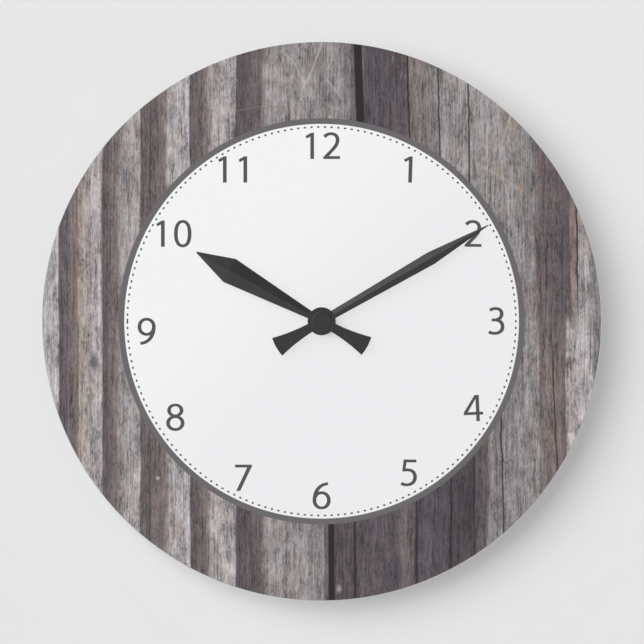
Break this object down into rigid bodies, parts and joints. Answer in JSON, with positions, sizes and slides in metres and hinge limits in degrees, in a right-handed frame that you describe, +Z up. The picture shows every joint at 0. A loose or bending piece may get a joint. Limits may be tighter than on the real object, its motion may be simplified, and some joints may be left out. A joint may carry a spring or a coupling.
{
  "type": "wall clock",
  "caption": "Round wall clock with a weathered-wood print around a white hour dial, two flared dark hands, and a battery quartz movement with a keyhole hanger behind.",
  "frame": {"origin": "point where the hands' axis meets the wall plane, on the rear face of the movement", "axes": "+Z up, -Y out of the dial towards the reader, +X to the reader's right"},
  "size_m": [0.273, 0.0322, 0.273],
  "materials": {
    "clear_acrylic": "polished cast acrylic, milky edge",
    "wood_print": "satin printed film, weathered wood boards",
    "black_plastic": "moulded, fine spark texture",
    "white_plastic": "moulded acetal",
    "hand_paint": "matte dark grey",
    "brass": "turned",
    "rubber": "matte",
    "steel": "drawn and ground",
    "soft_iron": "stamped, satin",
    "magnet": "sintered, dull",
    "copper": "enamelled copper wire",
    "board_green": "laminate with solder mask",
    "black_resin": "cured resin",
    "nickel": "nickel plated",
    "battery_wrap": "shrink sleeve"
  },
  "bodies": {
    "root": {"panel": "clear_acrylic", "printed_face": "wood_print", "rubber_gasket": "rubber", "threaded_bushing": "brass", "washer": "brass", "hex_nut": "brass", "movement_case": "black_plastic", "hanger_tab": "black_plastic", "rear_cover": "black_plastic", "gear_plate": "white_plastic", "stator": "soft_iron", "coil_core": "soft_iron", "coil_bobbin": "white_plastic", "coil_winding": "copper", "coil_leads": "copper", "circuit_board": "board_green", "quartz_crystal": "nickel", "chip_seal": "black_resin", "positive_contact": "nickel", "negative_contact": "nickel", "battery_spring": "nickel"},
    "minute_hand_group": {"minute_pipe": "brass", "minute_hand": "hand_paint", "minute_collet": "brass", "centre_cap": "hand_paint"},
    "hour_hand_group": {"hour_wheel": "white_plastic", "hour_hand": "hand_paint", "hour_collet": "brass"},
    "motion_wheel_group": {"motion_wheel": "white_plastic"},
    "setting_knob_group": {"setting_knob": "white_plastic"},
    "rotor_group": {"rotor_pinion": "white_plastic", "rotor_magnet": "magnet"},
    "fifth_wheel_group": {"fifth_wheel": "white_plastic"},
    "fourth_wheel_group": {"fourth_wheel": "white_plastic", "seconds_arbor": "steel"},
    "third_wheel_group": {"third_wheel": "white_plastic"},
    "centre_wheel_group": {"centre_wheel": "white_plastic"},
    "battery": {"battery_can": "nickel", "battery_sleeve": "battery_wrap"}
  },
  "joints": [
    {"name": "minute_hand_turn", "type": "hinge", "parent": "root", "child": "minute_hand_group", "pos_m": [0, -0.0295, 0], "axis": [0, 1, 0], "continuous": true},
    {"name": "hour_hand_turn", "type": "hinge", "parent": "root", "child": "hour_hand_group", "pos_m": [0, -0.0269, 0], "axis": [0, 1, 0], "continuous": true},
    {"name": "motion_wheel_turn", "type": "hinge", "parent": "root", "child": "motion_wheel_group", "pos_m": [0.00866, -0.012, 0.005], "axis": [0, 1, 0], "continuous": true},
    {"name": "setting_knob_turn", "type": "hinge", "parent": "root", "child": "setting_knob_group", "pos_m": [0.01573, -0.0016, 0.01207], "axis": [0, 1, 0], "continuous": true},
    {"name": "rotor_turn", "type": "hinge", "parent": "root", "child": "rotor_group", "pos_m": [0.00007, -0.0077, 0.01334], "axis": [0, 1, 0], "continuous": true},
    {"name": "fifth_wheel_turn", "type": "hinge", "parent": "root", "child": "fifth_wheel_group", "pos_m": [0.00246, -0.0054, 0.00677], "axis": [0, 1, 0], "continuous": true},
    {"name": "fourth_wheel_turn", "type": "hinge", "parent": "root", "child": "fourth_wheel_group", "pos_m": [0, -0.0034, 0], "axis": [0, 1, 0], "continuous": true},
    {"name": "third_wheel_turn", "type": "hinge", "parent": "root", "child": "third_wheel_group", "pos_m": [-0.0108, -0.007, 0], "axis": [0, 1, 0], "continuous": true},
    {"name": "centre_wheel_turn", "type": "hinge", "parent": "root", "child": "centre_wheel_group", "pos_m": [0, -0.0107, 0], "axis": [0, 1, 0], "continuous": true},
    {"name": "battery_slide", "type": "slide", "parent": "root", "child": "battery", "axis": [0, 1, 0], "range_m": [0, 0.02]}
  ],
  "couplings": [
    {"joint": "hour_hand_turn", "follows": "minute_hand_turn", "ratio": 0.083333},
    {"joint": "motion_wheel_turn", "follows": "minute_hand_turn", "ratio": -0.33333},
    {"joint": "setting_knob_turn", "follows": "minute_hand_turn", "ratio": 1},
    {"joint": "fifth_wheel_turn", "follows": "rotor_turn", "ratio": -0.16667},
    {"joint": "fourth_wheel_turn", "follows": "rotor_turn", "ratio": 0.033333},
    {"joint": "third_wheel_turn", "follows": "rotor_turn", "ratio": -0.0044444},
    {"joint": "centre_wheel_turn", "follows": "rotor_turn", "ratio": 0.00055556}
  ]
}
